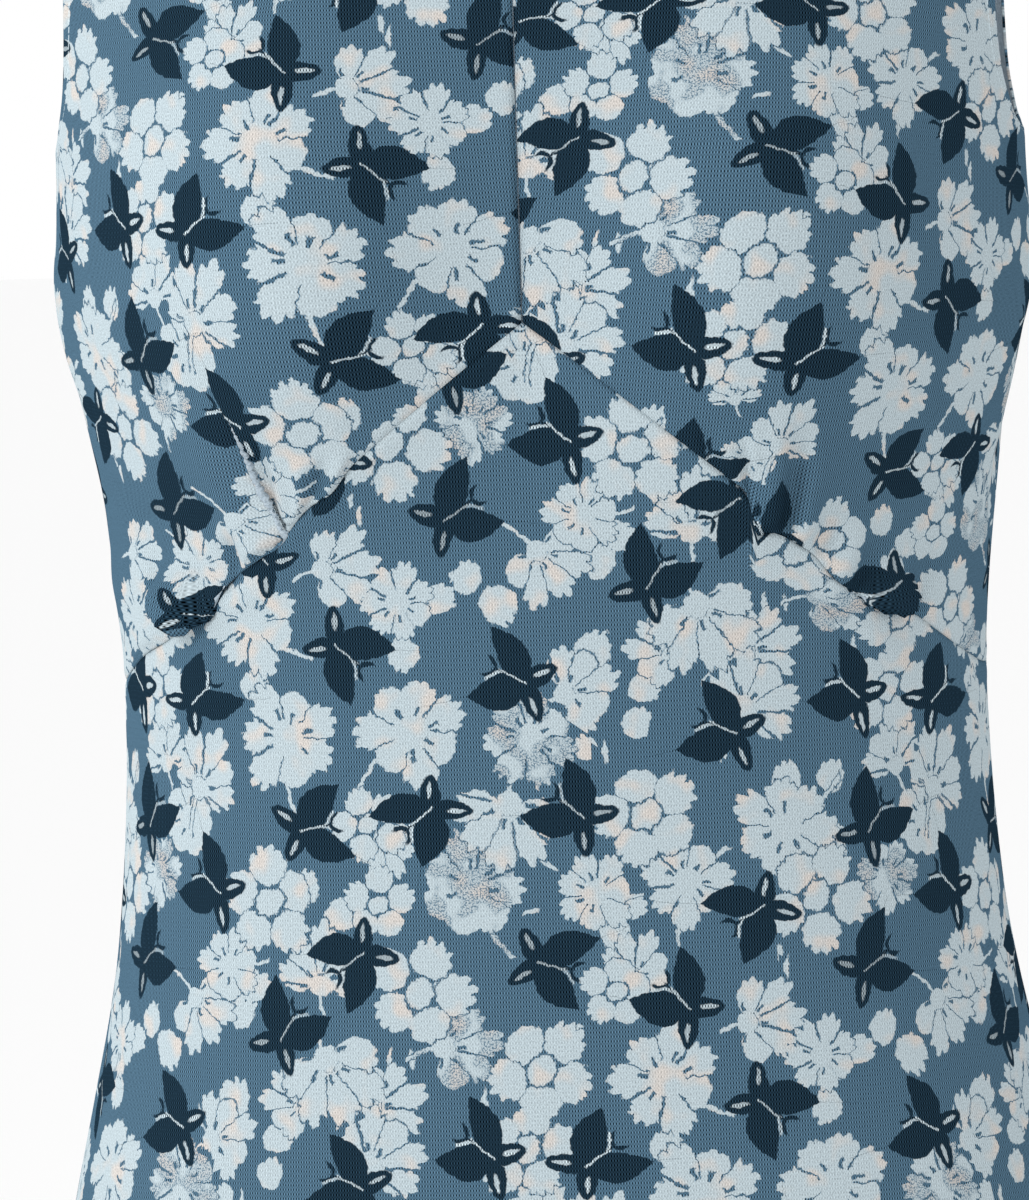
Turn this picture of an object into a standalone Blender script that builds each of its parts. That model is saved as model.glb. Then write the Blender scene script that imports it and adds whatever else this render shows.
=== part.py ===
"""Sleeveless V-neck midi dress in fine jersey, worn: a hollow shell on a general figure.

Metres, +Z up. The front faces -Y and the wearer's left is +X. The origin is the middle of the
shoulder line, where the wearer holds the dress up.

Four pieces are sewn together: two bodice fronts gathered under the bust, a front skirt cut to a
point that runs up between them, and a back cut in one from the shoulders to the hem. Each is a
grid laid on the outer face of the cloth and thickened inward.

A place on the dress is a turn and a height. The turn is an angle round the body: 0 at the centre
front, a quarter turn at the wearer's left side, half a turn at the centre back.
"""

import math

import bmesh
import bpy

# Cloth and seams
CLOTH = 0.0015
SEAM_GAP = 0.0003
HALF_GAP = SEAM_GAP / 2
BODICE_LIFT = 0.0004

# Lengths and heights, from the shoulder line down
HEM_Z = -1.170
UNDERARM_Z = -0.205
NECK_POINT_Z = 0.006
BACK_NECK_DROP = 0.040
BACK_NECK_ROUNDNESS = 0.7
SEAM_POINT_Z = -0.263
SEAM_SLOPE = 0.82
SEAM_HALF_WIDTH = 0.155

# Shoulders and upper chest
SHOULDER_SLOPE = 0.45
CHEST_HALF_WIDTH = 0.170
SHOULDER_HALF_WIDTH = 0.176
CHEST_SQUARENESS = 2.6
NECK_TURN = math.radians(29.5)
SIDE_TURN = math.radians(90)

# How full the oval of the body is at its four corners
FULLNESS = 0.025

# Bust: a mound on each side that dies away before the seam
BUST_X = 0.093
BUST_Z = -0.250
BUST_DEPTH = 0.036
BUST_ROUNDNESS = 1.2
BUST_SPREAD_INWARD = 0.060
BUST_SPREAD_OUTWARD = 0.064
BUST_SPREAD_UP = 0.092
BUST_SPREAD_DOWN = 0.066

# Skirt
FLUTE_TOP_Z = -0.600

# Grids: columns from the centre front to a side, and rows
BODICE_COLUMNS = 28
BODICE_ROWS = 24
BODICE_UNDERARM_ROW = 12
FRONT_NECK_ROW = 15
SKIRT_COLUMNS = 36
SKIRT_ROWS = 20
BACK_COLUMNS = 30
BACK_ROWS = 32
BACK_UNDERARM_ROW = 21
GATHER_COLUMN = 0.42
GATHER_CROWDING = 0.60
GATHER_ROW_CROWDING = 1.4

CLOTH_COLOUR = (0.080, 0.150, 0.216, 1.0)
CLOTH_ROUGHNESS = 0.85

SECTIONS = (
    # height, half width, front depth, back depth
    (-0.155, 0.170, 0.100, 0.106),
    (-0.205, 0.170, 0.100, 0.106),
    (-0.255, 0.170, 0.100, 0.106),
    (-0.330, 0.157, 0.103, 0.097),
    (-0.400, 0.152, 0.105, 0.091),
    (-0.500, 0.160, 0.110, 0.108),
    (-0.600, 0.181, 0.118, 0.131),
    (-0.720, 0.199, 0.131, 0.143),
    (-0.900, 0.223, 0.152, 0.162),
    (-1.170, 0.258, 0.184, 0.194),
)

ARMHOLE = (
    # along, front turn in degrees, back turn in degrees, height from underarm 0 to shoulder 1
    (0.000, 90.0, 90.0, 0.000),
    (0.020, 83.5, 84.5, 0.002),
    (0.074, 76.5, 78.5, 0.014),
    (0.156, 70.5, 73.5, 0.058),
    (0.259, 67.5, 70.5, 0.176),
    (0.377, 66.0, 69.0, 0.327),
    (0.500, 66.5, 69.0, 0.500),
    (0.750, 69.5, 71.0, 0.750),
    (1.000, 73.75, 73.75, 1.000),
)

GATHERS = (
    # side, distance of the foot from the centre, lean outward, length, depth, half width
    (-1, 0.0660, 0.10, 0.020, 0.0016, 0.0040),
    (-1, 0.0745, 0.55, 0.062, -0.0026, 0.0062),
    (-1, 0.0870, 0.45, 0.040, 0.0026, 0.0062),
    (-1, 0.0990, 0.60, 0.036, -0.0024, 0.0056),
    (-1, 0.1110, 0.70, 0.030, 0.0036, 0.0070),
    (1, 0.0740, -0.10, 0.026, 0.0018, 0.0040),
    (1, 0.0820, 0.10, 0.034, -0.0026, 0.0042),
    (1, 0.0900, 0.30, 0.030, 0.0024, 0.0045),
    (1, 0.0985, 0.45, 0.038, -0.0028, 0.0050),
    (1, 0.1110, 0.70, 0.034, 0.0036, 0.0075),
)

FLUTES = (
    # turn in degrees, half width in degrees, depth at the hem
    (-64, 10.0, 0.022),
    (-33, 9.0, 0.016),
    (-2, 10.0, 0.020),
    (29, 9.5, 0.017),
    (63, 11.0, 0.023),
    (117, 11.0, 0.024),
    (149, 9.5, 0.018),
    (182, 10.0, 0.022),
    (214, 9.0, 0.017),
    (245, 10.5, 0.023),
)


def smooth_column(table, at, column):
    """A column of a table at a value of its first column, on a smooth curve through its rows."""
    rows = sorted(table)
    last = len(rows) - 2
    index = max(0, min(last, sum(row[0] <= at for row in rows) - 1))

    def slope(i):
        before, after = rows[max(i - 1, 0)], rows[min(i + 1, len(rows) - 1)]
        return (after[column] - before[column]) / (after[0] - before[0])

    low, high = rows[index], rows[index + 1]
    span = high[0] - low[0]
    t = max(0.0, min(1.0, (at - low[0]) / span))
    return (
        low[column] * (1 + 2 * t) * (1 - t) ** 2
        + slope(index) * span * t * (1 - t) ** 2
        + high[column] * t * t * (3 - 2 * t)
        - slope(index + 1) * span * t * t * (1 - t)
    )


def ease(value):
    """From 0 to 1, flat at both ends."""
    value = max(0.0, min(1.0, value))
    return value * value * (3 - 2 * value)


def bell(distance, spread):
    return math.exp(-((distance / spread) ** 2))


def depth_at(turn, z):
    """Depth of the oval on the front or the back half."""
    return smooth_column(SECTIONS, z, 2 if math.cos(turn) > 0 else 3)


def oval(turn, width, depth):
    """A point of the body's outline in plan, a little fuller than an ellipse."""
    full = 1 + FULLNESS * math.sin(2 * turn) ** 2
    return width * math.sin(turn) * full, -depth * math.cos(turn) * full


def bust(turn, x, z):
    """How far the bust stands forward of the oval; nothing at the side seam or on the back."""
    across = abs(x) - BUST_X
    up = z - BUST_Z
    across_spread = BUST_SPREAD_OUTWARD if across > 0 else BUST_SPREAD_INWARD
    up_spread = BUST_SPREAD_UP if up > 0 else BUST_SPREAD_DOWN
    away = math.hypot(across / across_spread, up / up_spread)
    return BUST_DEPTH * max(0.0, math.cos(turn)) * bell(away**BUST_ROUNDNESS, 1)


def flutes(turn, z):
    """How far the skirt's soft flutes stand out: nothing at the hip, most at the hem."""
    grown = ease((FLUTE_TOP_Z - z) / (FLUTE_TOP_Z - HEM_Z))
    degrees = math.degrees(turn)
    total = 0.0
    for centre, half_width, depth in FLUTES:
        away = (degrees - centre + 180) % 360 - 180
        total += depth * bell(away, half_width)
    return total * grown


def seam_z(turn):
    """Height of the seam under the bust: straight lines down from its point, seen from the front."""
    return SEAM_POINT_Z - SEAM_SLOPE * SEAM_HALF_WIDTH * abs(math.sin(turn))


def body_point(turn, z):
    """The outer face of the cloth below the underarm."""
    width = smooth_column(SECTIONS, z, 1)
    depth = depth_at(turn, z)
    x, y = oval(turn, width, depth)
    y -= bust(turn, x, z)
    out_x, out_y = math.sin(turn) / width, -math.cos(turn) / depth
    push = flutes(turn, z) / math.hypot(out_x, out_y)
    return x + out_x * push, y + out_y * push, z


def chest_point(turn, height):
    """The outer face above the underarm: height is 0 there and 1 on the shoulder line."""
    angle = SIDE_TURN * height
    rise = math.sin(angle) ** (2 / CHEST_SQUARENESS)
    lean = max(math.cos(angle), 0.0) ** (2 / CHEST_SQUARENESS)
    width = CHEST_HALF_WIDTH + (SHOULDER_HALF_WIDTH - CHEST_HALF_WIDTH) * rise
    x, y = oval(turn, width, depth_at(turn, UNDERARM_Z))
    shoulder_z = NECK_POINT_Z - SHOULDER_SLOPE * (abs(x) - SHOULDER_HALF_WIDTH * math.sin(NECK_TURN))
    z = UNDERARM_Z + (shoulder_z - UNDERARM_Z) * rise
    facing = -1 if math.cos(turn) > 0 else 1
    return x, (y - bust(turn, x, z)) * lean + facing * HALF_GAP * (1 - lean), z


def gathers(side, turn, z):
    """How far the folds that fan up from the seam under the bust stand out."""
    x, _, _ = body_point(turn, z)
    up = z - seam_z(turn)
    total = 0.0
    for fold_side, foot, lean, length, depth, half_width in GATHERS:
        if fold_side == side:
            across = abs(x) - foot - lean * up
            total += depth * bell(across, half_width * (1 + up / length)) * (1 - ease(up / length))
    return total


def side_turn(z):
    """A quarter turn, less half a seam gap."""
    return SIDE_TURN - HALF_GAP / smooth_column(SECTIONS, z, 2)


def front_neck_turn(height):
    """The turn of the V neckline's edge, a straight line from the centre front to the neck point."""
    rows_above = BODICE_ROWS - BODICE_UNDERARM_ROW
    foot_height = ease((FRONT_NECK_ROW - BODICE_UNDERARM_ROW) / rows_above)
    foot_z = chest_point(0.0, foot_height)[2]
    turn = 0.0
    for _ in range(12):
        z = chest_point(turn, height)[2]
        risen = max(0.0, (z - foot_z) / (NECK_POINT_Z - foot_z))
        turn = math.asin(risen * math.sin(NECK_TURN))
    return max(turn, HALF_GAP / CHEST_HALF_WIDTH)


def back_top_height(turn):
    """Height of the back's top edge: the shoulder line, dipping in a curve between the neck points."""
    shoulder_z = chest_point(turn, 1.0)[2]
    across = min(1.0, abs(math.sin(turn)) / math.sin(NECK_TURN))
    edge_z = NECK_POINT_Z - BACK_NECK_DROP * (1 - across**2) ** BACK_NECK_ROUNDNESS
    rise = min(1.0, (edge_z - UNDERARM_Z) / (shoulder_z - UNDERARM_Z))
    return math.asin(rise ** (CHEST_SQUARENESS / 2)) / SIDE_TURN


def crowd_to_gathers(along):
    """Crowds the columns together where the gathers are; 0 and 1 stay."""
    cycle = 2 * math.pi
    lean = math.sin(cycle * (along - GATHER_COLUMN)) + math.sin(cycle * GATHER_COLUMN)
    return along - GATHER_CROWDING * lean / cycle


def front_bodice_point(side, across, up):
    """across runs from -1 to 1 towards the wearer's left, and up from 0 at the seam to 1."""
    along = crowd_to_gathers((1 + side * across) / 2)
    underarm = BODICE_UNDERARM_ROW / BODICE_ROWS
    if up <= underarm:
        centre, edge = HALF_GAP / CHEST_HALF_WIDTH, side_turn(UNDERARM_Z)
        turn = centre + (edge - centre) * along
        foot = seam_z(turn) + BODICE_LIFT
        z = foot + (UNDERARM_Z - foot) * (up / underarm) ** GATHER_ROW_CROWDING
        x, y, z = body_point(turn, z)
        push = gathers(side, turn, z)
        return side * (x + push * math.sin(turn)), y - push * math.cos(turn), z
    above = ease((up - underarm) / (1 - underarm))
    edge = math.radians(smooth_column(ARMHOLE, above, 1))
    edge_height = smooth_column(ARMHOLE, above, 3)
    centre = front_neck_turn(above)
    turn = centre + (min(edge, side_turn(UNDERARM_Z)) - centre) * along
    x, y, z = chest_point(turn, above + (edge_height - above) * along)
    return side * x, y, z


def front_skirt_point(across, up):
    """across runs from -1 to 1 towards the wearer's left, and up from 0 at the hem to 1."""
    turn = across * side_turn(HEM_Z + up * (SEAM_POINT_Z - HEM_Z))
    top = seam_z(turn) - HALF_GAP
    return body_point(turn, HEM_Z + (top - HEM_Z) * up)


def back_point(across, up):
    """across runs from -1 to 1 towards the wearer's right, and up from 0 at the hem to 1."""
    underarm = BACK_UNDERARM_ROW / BACK_ROWS
    half_turn = math.radians(180)
    if up <= underarm:
        z = HEM_Z + (UNDERARM_Z - HEM_Z) * up / underarm
        return body_point(half_turn + across * side_turn(z), z)
    above = ease((up - underarm) / (1 - underarm))
    edge = math.radians(smooth_column(ARMHOLE, above, 2))
    edge_height = smooth_column(ARMHOLE, above, 3)
    turn = half_turn + across * min(edge, side_turn(UNDERARM_Z))
    middle_height = above * back_top_height(turn)
    return chest_point(turn, middle_height + (edge_height - middle_height) * across**2)


def cloth_material(name):
    """Matt blue jersey, each piece's own."""
    material = bpy.data.materials.new(name)
    material.use_nodes = True
    shader = material.node_tree.nodes["Principled BSDF"]
    shader.inputs["Base Color"].default_value = CLOTH_COLOUR
    shader.inputs["Roughness"].default_value = CLOTH_ROUGHNESS
    shader.inputs["Metallic"].default_value = 0.0
    return material


def panel(name, columns, rows, point, collection):
    """A grid of columns by rows moved onto the cloth by point(across, up), then thickened inward."""
    shape = bmesh.new()
    bmesh.ops.create_grid(shape, x_segments=columns, y_segments=rows, size=1.0)
    for vert in shape.verts:
        vert.co = point(vert.co.x, (vert.co.y + 1) / 2)
    mesh = bpy.data.meshes.new(name)
    shape.to_mesh(mesh)
    shape.free()
    mesh.shade_smooth()
    mesh.materials.append(cloth_material(name + "_jersey"))
    piece = bpy.data.objects.new(name, mesh)
    collection.objects.link(piece)
    wall = piece.modifiers.new("Cloth thickness", "SOLIDIFY")
    wall.thickness = CLOTH
    wall.offset = -1


def build():
    for old in list(bpy.data.objects):
        bpy.data.objects.remove(old)
    dress = bpy.data.collections.new("midi_dress")
    bpy.context.scene.collection.children.link(dress)
    for name, side in (("front_bodice_right", -1), ("front_bodice_left", 1)):

        def bodice_point(across, up, side=side):
            return front_bodice_point(side, across, up)

        panel(name, BODICE_COLUMNS, BODICE_ROWS, bodice_point, dress)
    panel("front_skirt", SKIRT_COLUMNS, SKIRT_ROWS, front_skirt_point, dress)
    panel("back", BACK_COLUMNS, BACK_ROWS, back_point, dress)


build()
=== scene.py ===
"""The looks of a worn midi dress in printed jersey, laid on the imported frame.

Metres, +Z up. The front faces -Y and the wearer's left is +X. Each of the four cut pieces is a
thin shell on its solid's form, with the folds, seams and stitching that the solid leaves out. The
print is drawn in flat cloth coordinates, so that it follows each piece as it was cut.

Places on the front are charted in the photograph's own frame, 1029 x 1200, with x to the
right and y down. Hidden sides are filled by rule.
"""

import math
from functools import partialmethod

import bpy
import numpy as np
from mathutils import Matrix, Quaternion, Vector

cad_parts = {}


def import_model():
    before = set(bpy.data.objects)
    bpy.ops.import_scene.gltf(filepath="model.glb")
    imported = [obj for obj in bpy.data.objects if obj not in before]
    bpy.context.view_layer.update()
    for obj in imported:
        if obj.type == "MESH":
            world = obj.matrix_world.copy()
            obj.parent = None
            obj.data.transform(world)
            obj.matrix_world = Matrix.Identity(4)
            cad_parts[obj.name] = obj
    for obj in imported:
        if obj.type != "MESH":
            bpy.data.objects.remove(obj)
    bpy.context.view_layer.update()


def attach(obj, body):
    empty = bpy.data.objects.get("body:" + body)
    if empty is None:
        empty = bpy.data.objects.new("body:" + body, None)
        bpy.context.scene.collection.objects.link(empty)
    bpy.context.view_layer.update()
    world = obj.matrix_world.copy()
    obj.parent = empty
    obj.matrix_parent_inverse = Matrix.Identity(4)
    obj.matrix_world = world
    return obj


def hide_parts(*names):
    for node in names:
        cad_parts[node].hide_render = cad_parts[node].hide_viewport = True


# The photograph's frame
PHOTO_WIDTH = 1029
PHOTO_HEIGHT = 1200
PIXEL = 0.000337

# Camera: its target is the middle of the photograph's frame, on the front of the cloth
CAMERA_TARGET = Vector((-0.0050, -0.108, -0.3555))
CAMERA_DISTANCE = 2.3
CAMERA_AZIMUTH = math.radians(4.5)
CAMERA_ELEVATION = math.radians(5.0)
CAMERA_ROLL = math.radians(1.8)
SENSOR = 0.036

# Cloth
CLOTH = 0.0010
SEAM_GAP = 0.0003
HALF_GAP = SEAM_GAP / 2

# Lengths and heights of the form, the same as the solids'
HEM_Z = -1.170
UNDERARM_Z = -0.205
NECK_POINT_Z = 0.006
BACK_NECK_DROP = 0.040
BACK_NECK_ROUNDNESS = 0.7
SEAM_POINT_Z = -0.263
SEAM_SLOPE = 0.82
SEAM_HALF_WIDTH = 0.155
SHOULDER_SLOPE = 0.45
CHEST_HALF_WIDTH = 0.170
SHOULDER_HALF_WIDTH = 0.176
CHEST_SQUARENESS = 2.6
NECK_TURN = math.radians(29.5)
NECK_FOOT_HEIGHT = 0.15625
NECK_PASSES = 12
SIDE_TURN = math.radians(90)
FULLNESS = 0.025
BUST_X = 0.093
BUST_Z = -0.250
BUST_DEPTH = 0.036
BUST_ROUNDNESS = 1.2
BUST_SPREAD_INWARD = 0.060
BUST_SPREAD_OUTWARD = 0.064
BUST_SPREAD_UP = 0.092
BUST_SPREAD_DOWN = 0.066
FLUTE_TOP_Z = -0.600
GATHER_COLUMN = 0.42
GATHER_CROWDING = 0.60

SECTIONS = (
    # height, half width, front depth, back depth
    (-0.155, 0.170, 0.100, 0.106),
    (-0.205, 0.170, 0.100, 0.106),
    (-0.255, 0.170, 0.100, 0.106),
    (-0.330, 0.157, 0.103, 0.097),
    (-0.400, 0.152, 0.105, 0.091),
    (-0.500, 0.160, 0.110, 0.108),
    (-0.600, 0.181, 0.118, 0.131),
    (-0.720, 0.199, 0.131, 0.143),
    (-0.900, 0.223, 0.152, 0.162),
    (-1.170, 0.258, 0.184, 0.194),
)

ARMHOLE = (
    # along, front turn in degrees, back turn in degrees, height from underarm 0 to shoulder 1
    (0.000, 90.0, 90.0, 0.000),
    (0.020, 83.5, 84.5, 0.002),
    (0.074, 76.5, 78.5, 0.014),
    (0.156, 70.5, 73.5, 0.058),
    (0.259, 67.5, 70.5, 0.176),
    (0.377, 66.0, 69.0, 0.327),
    (0.500, 66.5, 69.0, 0.500),
    (0.750, 69.5, 71.0, 0.750),
    (1.000, 73.75, 73.75, 1.000),
)

# Cells of the pieces' grids: across, and up below and above the underarm
COLUMNS = 150
BODICE_ROWS = (110, 76)
SKIRT_ROWS = 290
BACK_ROWS = (220, 70)
SKIRT_ROW_LEAN = 0.30
BODICE_ROW_LEAN = 1.15

FLUTES = (
    # turn in degrees, half width in degrees, depth at the hem
    (-64, 10.0, 0.022),
    (-33, 9.0, 0.016),
    (-2, 10.0, 0.020),
    (29, 9.5, 0.017),
    (63, 11.0, 0.023),
    (117, 11.0, 0.024),
    (149, 9.5, 0.018),
    (182, 10.0, 0.022),
    (214, 9.0, 0.017),
    (245, 10.5, 0.023),
)


# ---------------------------------------------------------------- form


def smooth_column(table, at, column):
    """A column of a table at values of its first column, on a smooth curve through its rows."""
    rows = np.array(sorted(table))
    key, value = rows[:, 0], rows[:, column]
    before = np.maximum(np.arange(len(key)) - 1, 0)
    after = np.minimum(np.arange(len(key)) + 1, len(key) - 1)
    slope = (value[after] - value[before]) / (key[after] - key[before])
    low = np.clip(np.searchsorted(key, at, side="right") - 1, 0, len(key) - 2)
    span = key[low + 1] - key[low]
    t = np.clip((at - key[low]) / span, 0, 1)
    return (
        value[low] * (1 + 2 * t) * (1 - t) ** 2
        + slope[low] * span * t * (1 - t) ** 2
        + value[low + 1] * t * t * (3 - 2 * t)
        - slope[low + 1] * span * t * t * (1 - t)
    )


def ease(value):
    """From 0 to 1, flat at both ends."""
    value = np.clip(value, 0, 1)
    return value * value * (3 - 2 * value)


def bell(distance, spread):
    return np.exp(-((distance / spread) ** 2))


def depth_at(turn, z):
    """Depth of the oval on the front or the back half."""
    return np.where(np.cos(turn) > 0, smooth_column(SECTIONS, z, 2), smooth_column(SECTIONS, z, 3))


def oval(turn, width, depth):
    """A point of the body's outline in plan, a little fuller than an ellipse."""
    full = 1 + FULLNESS * np.sin(2 * turn) ** 2
    return width * np.sin(turn) * full, -depth * np.cos(turn) * full


def bust(turn, x, z):
    """How far the bust stands forward of the oval."""
    across = np.abs(x) - BUST_X
    up = z - BUST_Z
    across = across / np.where(across > 0, BUST_SPREAD_OUTWARD, BUST_SPREAD_INWARD)
    up = up / np.where(up > 0, BUST_SPREAD_UP, BUST_SPREAD_DOWN)
    away = np.hypot(across, up)
    return BUST_DEPTH * np.maximum(0, np.cos(turn)) * bell(away**BUST_ROUNDNESS, 1)


def flutes(turn, z):
    """How far the skirt's soft flutes stand out: nothing at the hip, most at the hem."""
    grown = ease((FLUTE_TOP_Z - z) / (FLUTE_TOP_Z - HEM_Z))
    total = 0.0
    for centre, half_width, depth in FLUTES:
        away = (np.degrees(turn) - centre + 180) % 360 - 180
        total = total + depth * bell(away, half_width)
    return total * grown


def seam_z(turn):
    """Height of the seam under the bust, straight lines down from its point as seen from the front."""
    return SEAM_POINT_Z - SEAM_SLOPE * SEAM_HALF_WIDTH * np.abs(np.sin(turn))


def body_point(turn, z):
    """The outer face of the cloth below the underarm."""
    width = smooth_column(SECTIONS, z, 1)
    depth = depth_at(turn, z)
    x, y = oval(turn, width, depth)
    y = y - bust(turn, x, z)
    out_x, out_y = np.sin(turn) / width, -np.cos(turn) / depth
    push = flutes(turn, z) / np.hypot(out_x, out_y)
    return np.stack((x + out_x * push, y + out_y * push, z + 0 * x), -1)


def chest_point(turn, height):
    """The outer face above the underarm: height is 0 there and 1 on the shoulder line."""
    angle = SIDE_TURN * height
    rise = np.sin(angle) ** (2 / CHEST_SQUARENESS)
    lean = np.maximum(np.cos(angle), 0) ** (2 / CHEST_SQUARENESS)
    width = CHEST_HALF_WIDTH + (SHOULDER_HALF_WIDTH - CHEST_HALF_WIDTH) * rise
    x, y = oval(turn, width, depth_at(turn, UNDERARM_Z))
    neck_x = SHOULDER_HALF_WIDTH * math.sin(NECK_TURN)
    shoulder_z = NECK_POINT_Z - SHOULDER_SLOPE * (np.abs(x) - neck_x)
    z = UNDERARM_Z + (shoulder_z - UNDERARM_Z) * rise
    facing = np.where(np.cos(turn) > 0, -1, 1)
    y = (y - bust(turn, x, z)) * lean + facing * HALF_GAP * (1 - lean)
    return np.stack((x, y, z), -1)


def side_turn(z):
    """A quarter turn, less half a seam gap."""
    return SIDE_TURN - HALF_GAP / smooth_column(SECTIONS, z, 2)


def front_neck_turn(height):
    """The turn of the V neckline's edge, a straight line from the centre front to the neck point."""
    zero = np.zeros(1)
    foot_z = chest_point(zero, zero + NECK_FOOT_HEIGHT)[0, 2]
    turn = np.zeros_like(height)
    for _ in range(NECK_PASSES):
        z = chest_point(turn, height)[..., 2]
        risen = np.clip((z - foot_z) / (NECK_POINT_Z - foot_z), 0, 1)
        turn = np.arcsin(risen * math.sin(NECK_TURN))
    return np.maximum(turn, HALF_GAP / CHEST_HALF_WIDTH)


def back_top_height(turn):
    """Height of the back's top edge: the shoulder line, dipping in a curve between the neck points."""
    shoulder_z = chest_point(turn, np.ones_like(turn))[..., 2]
    across = np.minimum(1, np.abs(np.sin(turn)) / math.sin(NECK_TURN))
    edge_z = NECK_POINT_Z - BACK_NECK_DROP * (1 - across**2) ** BACK_NECK_ROUNDNESS
    rise = np.clip((edge_z - UNDERARM_Z) / (shoulder_z - UNDERARM_Z), 0, 1)
    return np.arcsin(rise ** (CHEST_SQUARENESS / 2)) / SIDE_TURN


def crowd_to_gathers(along):
    """Crowds the columns together where the gathers are; 0 and 1 stay."""
    cycle = 2 * math.pi
    lean = np.sin(cycle * (along - GATHER_COLUMN)) + math.sin(cycle * GATHER_COLUMN)
    return along - GATHER_CROWDING * lean / cycle


def steps_up(rows):
    """From 0 to 1 up a column, in equal steps."""
    return np.linspace(0, 1, rows + 1)[:, None]


def armhole_edge(above, column):
    """Turn and height of the armhole's edge at each row above the underarm."""
    turn = np.radians(smooth_column(ARMHOLE, above, column))
    return np.minimum(turn, side_turn(UNDERARM_Z)), smooth_column(ARMHOLE, above, 3)


def bodice_form(side):
    """Points of a bodice front, rows from the seam up and columns towards the wearer's left."""
    across = np.linspace(-1, 1, COLUMNS + 1)[None, :]
    along = crowd_to_gathers((1 + side * across) / 2)
    up = steps_up(BODICE_ROWS[0]) ** BODICE_ROW_LEAN
    centre, edge = HALF_GAP / CHEST_HALF_WIDTH, side_turn(UNDERARM_Z)
    turn = centre + (edge - centre) * along
    foot = seam_z(turn)
    below = body_point(turn + 0 * up, foot + (UNDERARM_Z - foot) * up)

    above = ease(steps_up(BODICE_ROWS[1])[1:])
    edge, edge_height = armhole_edge(above, 1)
    centre = front_neck_turn(above)
    turn = centre + (edge - centre) * along
    chest = chest_point(turn, above + (edge_height - above) * along)
    points = np.concatenate((below, chest))
    points[..., 0] *= side
    return points


def skirt_form():
    """Points of the front skirt, rows from the hem up and columns towards the wearer's left."""
    across = np.linspace(-1, 1, COLUMNS + 1)[None, :]
    up = steps_up(SKIRT_ROWS)
    up = up + SKIRT_ROW_LEAN * np.sin(math.pi * up) / math.pi
    turn = across * side_turn(HEM_Z + up * (SEAM_POINT_Z - HEM_Z))
    top = seam_z(turn)
    return body_point(turn, HEM_Z + (top - HEM_Z) * up)


def back_form():
    """Points of the back, rows from the hem up and columns towards the wearer's right."""
    half_turn = math.radians(180)
    across = np.linspace(-1, 1, COLUMNS + 1)[None, :]
    z = HEM_Z + (UNDERARM_Z - HEM_Z) * steps_up(BACK_ROWS[0])
    below = body_point(half_turn + across * side_turn(z), z + 0 * across)

    above = ease(steps_up(BACK_ROWS[1])[1:])
    edge, edge_height = armhole_edge(above, 2)
    turn = half_turn + across * edge
    middle = above * back_top_height(turn)
    chest = chest_point(turn, middle + (edge_height - middle) * across**2)
    return np.concatenate((below, chest))


# ---------------------------------------------------------------- camera


def make_camera():
    level = math.cos(CAMERA_ELEVATION)
    back_x = math.sin(CAMERA_AZIMUTH) * level
    back_y = -math.cos(CAMERA_AZIMUTH) * level
    back = Vector((back_x, back_y, math.sin(CAMERA_ELEVATION)))
    data = bpy.data.cameras.new("camera")
    data.sensor_width = SENSOR * 1000
    data.lens = data.sensor_width * CAMERA_DISTANCE / (PHOTO_HEIGHT * PIXEL)
    data.clip_end = 100
    camera = bpy.data.objects.new("camera", data)
    bpy.context.scene.collection.objects.link(camera)
    camera.location = CAMERA_TARGET + back * CAMERA_DISTANCE
    facing = (-back).to_track_quat("-Z", "Y")
    camera.rotation_mode = "QUATERNION"
    camera.rotation_quaternion = facing @ Quaternion((0, 0, 1), -CAMERA_ROLL)
    bpy.context.scene.camera = camera
    bpy.context.view_layer.update()
    return camera


def photo_place(camera, points):
    """Where points show in the photograph's frame: x to the right and y down, in its pixels."""
    to_camera = np.array(camera.matrix_world.inverted())
    local = points @ to_camera[:3, :3].T + to_camera[:3, 3]
    scale = camera.data.lens / camera.data.sensor_width * PHOTO_HEIGHT / -local[..., 2]
    x = PHOTO_WIDTH / 2 + local[..., 0] * scale
    y = PHOTO_HEIGHT / 2 - local[..., 1] * scale
    return np.stack((x, y), -1)


# ---------------------------------------------------------------- folds


def arc(points, axis):
    """Length run along one axis of a grid of points, from 0."""
    steps = np.linalg.norm(np.diff(points, axis=axis), axis=-1)
    return np.concatenate((np.zeros_like(steps.take([0], axis)), np.cumsum(steps, axis)), axis)


def normals_of(points):
    """Unit normals of a grid whose rows run up and whose columns run to the right, seen from outside."""
    normal = np.cross(np.gradient(points, axis=1), np.gradient(points, axis=0))
    return normal / np.linalg.norm(normal, axis=-1, keepdims=True)


def from_line(place, line):
    """Distance of each place from a line of points, how far along the line it is, from 0 to 1, and the
    way straight out from the line."""
    line = np.array(line, float)
    lengths = np.linalg.norm(np.diff(line, axis=0), axis=1)
    best = np.full(place.shape[:-1], np.inf)
    signed = np.zeros_like(best)
    along = np.zeros_like(best)
    outward = np.zeros(place.shape)
    run = 0.0
    for start, end, length in zip(line[:-1], line[1:], lengths):
        direction = (end - start) / length
        away = place - start
        t = np.clip(away @ direction, 0, length)
        off = away - t[..., None] * direction
        distance = np.linalg.norm(off, axis=-1)
        nearer = distance < best
        side = np.sign(off[..., 0] * direction[1] - off[..., 1] * direction[0])
        best = np.where(nearer, distance, best)
        signed = np.where(nearer, distance * side, signed)
        along = np.where(nearer, (run + t) / lengths.sum(), along)
        outward[nearer] = direction[1], -direction[0]
        run += length
    return signed, along, outward


# A lap turns over in this share of its width. Laps and pouches rise by a share of what they carry
LAP_TURN = 0.12
LAP_RISE = 0.40
POUCH_RISE = 0.95
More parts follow.
